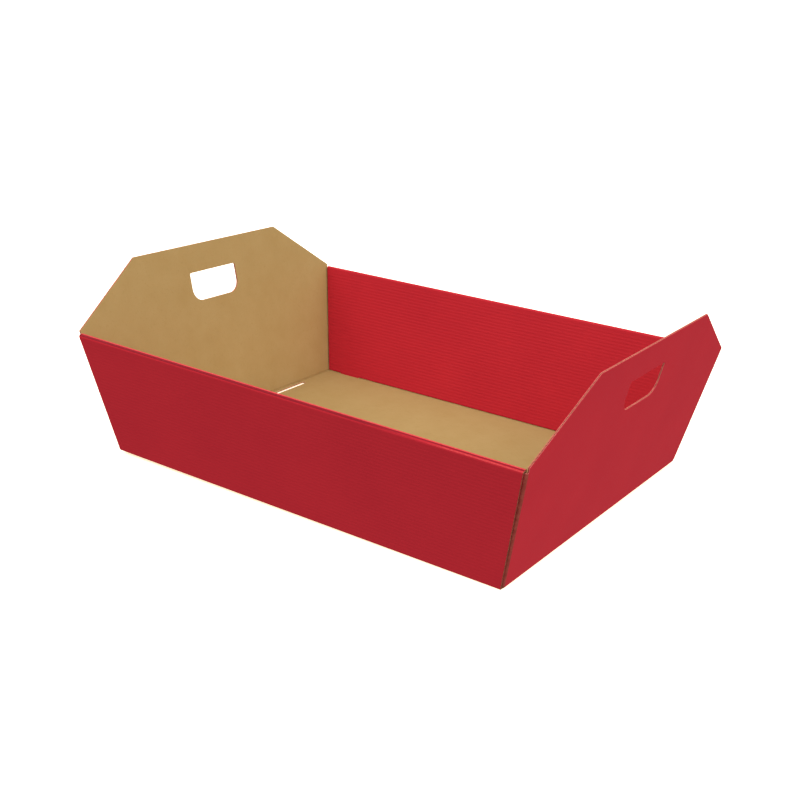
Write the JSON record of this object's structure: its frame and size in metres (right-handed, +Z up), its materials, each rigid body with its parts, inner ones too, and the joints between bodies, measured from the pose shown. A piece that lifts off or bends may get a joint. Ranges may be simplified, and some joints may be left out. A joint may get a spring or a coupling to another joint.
{
  "type": "cardboard tray box",
  "caption": "Open tray box folded from one sheet of corrugated board, with leaning walls, double long sides and raised six-sided ends with hand holes.",
  "frame": {"origin": "middle of the base's underside, on the surface that the tray stands on", "axes": "+X along the tray's long side, +Y across it, +Z up; the base's slot beside an end fold is at -X"},
  "size_m": [0.4732, 0.3536, 0.1612],
  "materials": {
    "red_printed_board": "satin printed paper outside, plain brown kraft inside"
  },
  "bodies": {
    "root": {"tray": "red_printed_board"}
  },
  "joints": []
}
